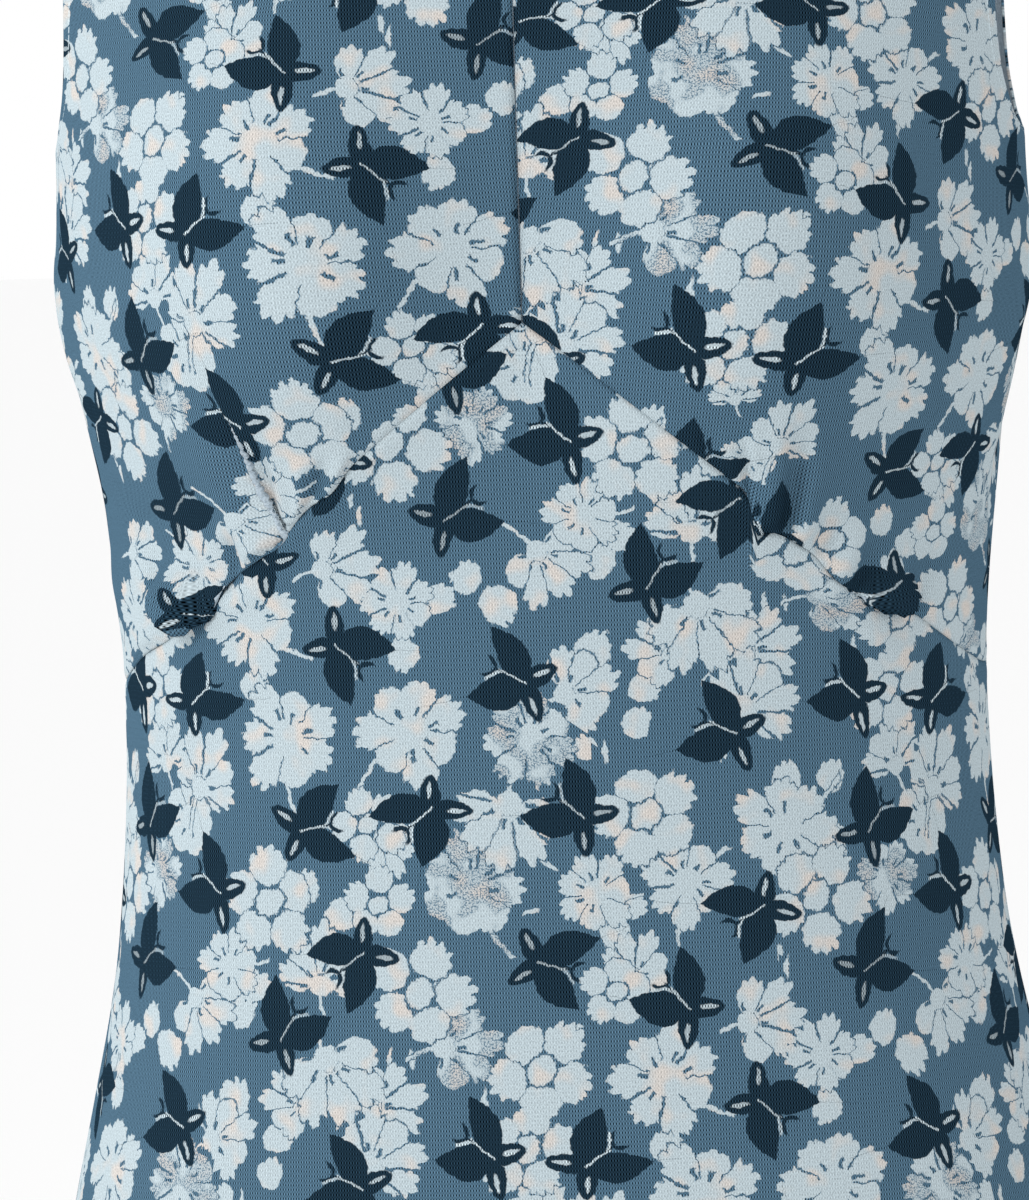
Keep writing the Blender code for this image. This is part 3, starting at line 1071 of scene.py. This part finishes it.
def past(seed, steps):
    """1 where a seed is past a number of steps."""
    return seed.above(steps * SEED_STEP - 0.05, steps * SEED_STEP)


def in_oval(x, y, half_long, half_wide):
    """Depth inside an oval about the origin, in millimetres."""
    out, across = x / half_long, y / half_wide
    return (1.0 - (out * out + across * across).math("SQRT")) * half_wide


def petals(radius, angle, seed, spacing, most, reach, foot, half_wide):
    """Depth inside a ring of notched petals, and the nearest one's own number and local angle.

    The petals stand at each spacing, up to most on both sides, and run from foot, a share of their
    reach, to their reach."""
    count = (angle / spacing).math("ROUND").lowest(most).highest(-1 * most)
    own = own_number((seed * 10.0).math("ROUND") * 0.37 + count)
    local = angle - count * spacing
    long = reach(count) * (own * 0.34 + 0.83)
    middle = (1 + foot) / 2
    out = (radius * local.cos() / long - middle) / (1 - middle)
    across = radius * local.sin() / half_wide
    depth = (1.0 - (out * out + across * across).math("SQRT")) * (half_wide * 0.9)
    teeth = (1.0 - abs((local * 14.0 + own * 9.0).sin())) * out.above(-0.2, 0.6)
    return depth - teeth * own.above(0.15, 0.5) * 1.7, own, local


def blossom(tree, vector):
    """Depth inside a full blossom in millimetres, and 1 where it is speckled.

    It has notched petals, slits, stamens and a stem. A fan is one seen from the side: its petals
    spread forward only, from an oval one behind."""
    place = Place(tree, vector)
    fan = past(place.seed.math("MODULO", 2 * SEED_STEP), 1)
    speckled = past(place.seed, 2)
    place.x = place.x + fan * 8.0
    radius, angle = place.radius(), place.angle()
    spacing = BLOSSOM_SPACING - fan * FAN_CROWDING

    def reach(count):
        return (6.5 - abs(count) * 2.2) * fan + 16.6

    depth, own, local = petals(
        radius, angle, place.seed, spacing, most=3.0 - fan, reach=reach, foot=0.18, half_wide=6.2
    )
    depth = depth.highest(8.6 - fan * 4.4 - radius)
    slit = abs(abs(local) - spacing * 0.5) * radius - 0.52
    slit = slit.highest(5.6 - radius).highest((0.50 - own) * 40)
    tick = abs((angle + own * 0.2).fold(-0.45, 0.45)) * radius - 0.62
    tick = tick.highest(abs(radius - 6.0 - own * 1.6) - 1.7).highest(abs(angle) - 2.3)
    depth = depth.lowest(slit).lowest(tick)
    stem = (0.75 - abs(place.y + place.x * place.x * 0.016)).lowest(-1 * place.x)
    return depth.highest(stem.lowest(place.x + 23.0)), speckled


def floret(tree, vector):
    """Depth inside a flower of five parted petals about an oval eye."""
    place = Place(tree, vector)
    radius, angle = place.radius(), place.angle()
    depth, _, _ = petals(
        radius, angle, place.seed, FLORET_SPACING, most=2.0, reach=lambda _: 14.4, foot=0.28, half_wide=5.6
    )
    eye = in_oval(place.x, place.y, half_long=4.2, half_wide=3.4)
    return depth.lowest(-0.65 - eye).highest(eye)


def bud(tree, vector):
    """Depth inside a single petal or, with a seed past the first step, inside a thin dash."""
    place = Place(tree, vector)
    thin = past(place.seed, 1)
    teeth = (1.0 - abs((place.y * 1.1 + place.seed).sin())) * place.x.above(0.0, 5.0)
    across = place.y + place.x * place.x * 0.03
    return in_oval(place.x, across, 6.0 - thin * 1.8, 5.0 - thin * 4.0) - teeth * 1.4


def butterfly(tree, vector):
    """Depths inside a butterfly's dark parts and inside its light lines, and its own number."""
    place = Place(tree, vector)
    share = place.seed * 0.1
    y = place.y + place.x * (share - 0.5) * 0.25
    mirror = abs(y)
    side = y.math("SIGN")
    out, across = turned_to(place.x + 1.2, mirror, 36)
    t = (out / 22.0).math("ADD", 0.0, clamped=True)
    half = (t**0.68) * (1.0 - t) * (side * 0.8 + 18.4)
    across = across - t * (1.0 - t) * 6.0
    front = half - abs(across)
    out, hind_across = turned_to(place.x + 1.0, mirror, 133)
    out = out - side * 0.8
    hind_across = hind_across * (out * 0.040 + 0.72)
    hind = in_oval(out - 6.7, hind_across, half_long=6.9, half_wide=3.5)
    slit = in_oval(out - 7.9, hind_across + 0.3, half_long=3.0, half_wide=0.85)
    out, ear_across = turned_to(place.x - 11.4, mirror - 2.2, 44)
    ear = in_oval(out, ear_across + out * out * 0.12, half_long=3.0, half_wide=0.85)
    joint = 1.7 - abs(y) - abs(place.x - 4.0) * 0.22
    dark = front.highest(hind).highest(ear).highest(joint)
    body = (0.32 - abs(y + place.x * place.x * 0.010)).lowest(5.4 - abs(place.x - 3.4))
    edge = (0.50 - abs(across + half + 0.65)).lowest(t * 9.0 - 0.9).lowest(5.6 - t * 9.0)
    edge = edge.lowest((share - 0.45) * y * 8.0)
    return dark, body.highest(slit).highest(edge), share


def new_material(name):
    """Adds a material, and gives its node tree and its shader."""
    material = bpy.data.materials.new(name)
    material.use_nodes = True
    return material.node_tree, material.node_tree.nodes["Principled BSDF"]


# Millimetres from wale to wale and from course to course of the knit
KNIT_WALE = 1.01
KNIT_COURSE = 1.60
BUMP_STRENGTH = 0.6
BUMP_HEIGHT = 0.0002
# Half the soft width of a printed edge, and half the width and the repeat of a stitch line
INK_EDGE = 0.22
THREAD = 0.4
STITCH_STEP = 2.8
BUTTERFLY_WOBBLE = 1.5
FLOWER_WOBBLE = 2.5
# Painted shade between the knit's stitches, and lighter stitch tops, show most on the butterflies' navy
# and least on the flowers
STITCH_SHADE = 0.80
FLOWER_STITCH_SHADE_LOSS = 0.62
NAVY_STITCH_SHADE_GAIN = 0.40
GRAIN_TONE = 0.44
BASE_TONE = 0.46


def knit(tree, flat):
    """The jersey's face: staggered stitches on its wales, from -1 between them to 1 on them, used for
    bumps and, in the printed jersey, as painted shade.
    """
    place = Place(tree, flat)
    wale = (place.x * (2 * math.pi / KNIT_WALE)).sin()
    course = (place.y * (2 * math.pi / KNIT_COURSE)).sin()
    return wale * (course * 0.65 + 0.35)


def add_bump(tree, shader, height):
    inputs = {"Height": height, "Strength": BUMP_STRENGTH, "Distance": BUMP_HEIGHT}
    plug(tree, shader.inputs["Normal"], add_node(tree, "Bump", inputs).outputs["Normal"])


def inked(depth):
    """1 inside a printed shape and 0 outside it."""
    return depth.above(-INK_EDGE, INK_EDGE)


def flowers(tree, fields):
    """Depth inside the pale flowers, each laid behind the ones before, and where they are speckled."""
    pale = floret(tree, fields["floret"])
    speckled = None
    for layer in ("blossom", "second_blossom"):
        depth, dotted = blossom(tree, fields[layer])
        depth = depth.lowest(-PRINT_GAP - pale)
        dotted = dotted * depth.above(0.0, 0.1)
        speckled = dotted if speckled is None else speckled.highest(dotted)
        pale = pale.highest(depth)
    return pale.highest(bud(tree, fields["bud"]).lowest(-PRINT_GAP - pale)), speckled


def stitch_thread(tree):
    """1 on the stitches along the turned edges and the two rows above the hem."""
    edges = Place(tree, attribute(tree, "edges"))
    neck, hem = NECK_STITCH * 1000, HEM_STITCH * 1000
    near = (THREAD - abs(edges.x - neck)).highest(THREAD - abs(edges.y - hem))
    near = near.highest(THREAD - abs(edges.y - hem - HEM_ROW_STEP))
    return near.above(-0.15, 0.1) * edges.seed.fold(0.0, STITCH_STEP).above(0.5, 0.8)


def printed_jersey():
    """Blue jersey printed with pale blossoms and navy butterflies, sewn with blue thread, with painted
    shade between the knit's stitches.
    """
    tree, shader = new_material("printed_jersey")
    flat = attribute(tree, "flat")
    wobble = noise(tree, flat, scale=0.32, detail=2.0, roughness=0.65)[1]
    fields = {}
    for layer in LAYERS:
        amount = BUTTERFLY_WOBBLE if layer == "butterfly" else FLOWER_WOBBLE
        fields[layer] = shift_vector(tree, attribute(tree, layer), wobble, amount)
    pale, speckled = flowers(tree, fields)
    dark, line, share = butterfly(tree, fields["butterfly"])

    grain = noise(tree, flat, scale=1.45, detail=1.0, roughness=0.7)[0]
    warm = noise(tree, flat, scale=0.09, detail=1.0)[0]
    speckle = grain.above(0.49, 0.57) * warm.above(0.42, 0.50) * speckled
    light = inked(pale)
    ice = mix(tree, warm.above(0.50, 0.80), ICE, CREAM)
    colour = mix(tree, light * (1.0 - speckle * 0.85), GROUND, ice)
    colour = mix(tree, inked(dark), colour, NAVY)
    colour = mix(tree, line.above(-INK_EDGE, 0.16) * (share * 0.5 + 0.45), colour, ICE)

    stitches = knit(tree, flat)
    navy = inked(dark.lowest(-1 * line))
    # Painted shade: the knit's stitches darken the colour between the wales and lighten it on them; the
    # grain adds random tone
    stitch_shade = STITCH_SHADE - light * FLOWER_STITCH_SHADE_LOSS + navy * NAVY_STITCH_SHADE_GAIN
    shade_and_grain = (stitches * stitch_shade + grain * GRAIN_TONE + BASE_TONE).highest(0.0)
    shaded = add_node(tree, "VectorMath", {0: colour, "Scale": shade_and_grain}, operation="SCALE").outputs[0]

    thread = stitch_thread(tree)
    plug(tree, shader.inputs["Base Color"], mix(tree, thread * 0.6, shaded, ICE))
    shader.inputs["Roughness"].default_value = 0.82
    shader.inputs["Specular IOR Level"].default_value = 0.0
    add_bump(tree, shader, stitches * 0.6 + thread)


def inside_jersey():
    """The cloth's reverse, where the print shows through only as a pale blue."""
    tree, shader = new_material("jersey_reverse")
    flat = attribute(tree, "flat")
    grain = noise(tree, flat, scale=1.1, detail=2.0)[0]
    colour = mix(tree, grain.above(0.3, 0.7), INSIDE, INSIDE_PALE)
    plug(tree, shader.inputs["Base Color"], colour)
    shader.inputs["Roughness"].default_value = 0.9
    shader.inputs["Sheen Weight"].default_value = 0.15
    add_bump(tree, shader, knit(tree, flat) + grain)


# ---------------------------------------------------------------- pieces


def add_field(mesh, name, values, domain):
    """Stores three numbers for each vertex or each face corner."""
    layer = mesh.attributes.new(name, "FLOAT_VECTOR", domain)
    layer.data.foreach_set("vector", np.ascontiguousarray(values, np.float32).ravel())


def add_piece(node, points, cut, worn, chart, moves, edges):
    """One cut piece: a thin shell with its print laid out in flat coordinates.

    cut holds its flat places as it was cut, and worn those after its folds have taken up cloth."""
    mesh = grid_mesh(node + "_cloth", points)
    faces = faces_of(*points.shape[:2])
    flat = lay_print(node, worn)
    low, high = flat.reshape(-1, 2).min(0), flat.reshape(-1, 2).max(0)
    for layer in LAYERS:
        sites = gathered(repeated(chart[layer], low, high), layer, moves)
        add_field(mesh, layer, motif_coordinates(sites, flat, faces), "CORNER")
    add_field(mesh, "flat", np.insert(flat, 2, 0, -1) * 1000, "POINT")
    add_field(mesh, "edges", np.stack(edges, -1) * 1000, "POINT")
    for name in ("printed_jersey", "jersey_reverse"):
        mesh.materials.append(bpy.data.materials[name])
    piece = bpy.data.objects.new(node + "_cloth", mesh)
    bpy.context.scene.collection.objects.link(piece)
    wall = piece.modifiers.new("Cloth thickness", "SOLIDIFY")
    wall.thickness = CLOTH
    wall.offset = -1
    wall.material_offset = 1
    wall.material_offset_rim = 0
    declare(piece, node, cut)


def declare(piece, node, cut):
    """Attaches the piece to the root body and hides its solid; the area of cloth that it was cut from is
    worked out but not kept.
    """
    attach(piece, "root")
    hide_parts(node)
    area = float(cell_areas(cut).sum())


def shown_to(camera, points):
    """True where the outer face of the cloth looks towards the camera."""
    towards = np.array(camera.location) - points
    return np.sum(normals_of(points) * towards, -1) > 0


def make_dress(camera):
    printed_jersey()
    inside_jersey()
    form = skirt_form()
    cut = unfold(form, form.shape[1] // 2)
    chart = chart_repeat(photo_place(camera, form), shown_to(camera, form), cut)
    points, *edges = finish_skirt(form, camera)
    add_piece("front_skirt", points, cut, cut, chart, (), edges)
    for node, side in (("front_bodice_right", -1), ("front_bodice_left", 1)):
        form = bodice_form(side)
        cut = unfold(form, form.shape[1] - 1 if side < 0 else 0)
        points, *edges = finish_bodice(form, side, camera)
        worn = take_up(cut, form, points)
        moves = gather_moves(node, photo_place(camera, points), shown_to(camera, points), worn)
        add_piece(node, points, cut, worn, chart, moves, edges)
    form = back_form()
    cut = unfold(form, form.shape[1] // 2)
    points, *edges = finish_back(form)
    add_piece("back", points, cut, cut, chart, (), edges)


# ---------------------------------------------------------------- studio


FLOOR_SIZE = 60
FLOOR_PLACE = (0, 0, -1.40)
LIGHTS = (
    # name, place, aim, size, power
    ("key", (-1.9, -2.0, 1.1), (0, 0, -0.4), 0.9, 36),
    ("rim", (-2.2, 0.5, 0.2), (0, 0, -0.5), 1.2, 12),
)


def add_area_light(name, location, target, size, power):
    data = bpy.data.lights.new(name, "AREA")
    data.shape = "DISK"
    data.size = size
    data.energy = power
    light = bpy.data.objects.new(name, data)
    bpy.context.scene.collection.objects.link(light)
    light.location = location
    light.rotation_euler = (Vector(target) - Vector(location)).to_track_quat("-Z", "Y").to_euler()


def make_studio():
    bpy.ops.mesh.primitive_plane_add(size=FLOOR_SIZE, location=FLOOR_PLACE)
    floor = bpy.context.active_object
    floor.name = "floor"
    shader = new_material("floor_paper")[1]
    shader.inputs["Base Color"].default_value = FLOOR
    shader.inputs["Roughness"].default_value = 0.9
    floor.data.materials.append(bpy.data.materials["floor_paper"])
    world = bpy.data.worlds.new("studio")
    bpy.context.scene.world = world
    world.use_nodes = True
    background = world.node_tree.nodes["Background"]
    background.inputs["Color"].default_value = (1.0, 1.0, 1.0, 1)
    background.inputs["Strength"].default_value = 1.0
    for light in LIGHTS:
        add_area_light(*light)
    bpy.context.scene.view_settings.view_transform = "Standard"


def main():
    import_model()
    camera = make_camera()
    make_dress(camera)
    make_studio()


main()
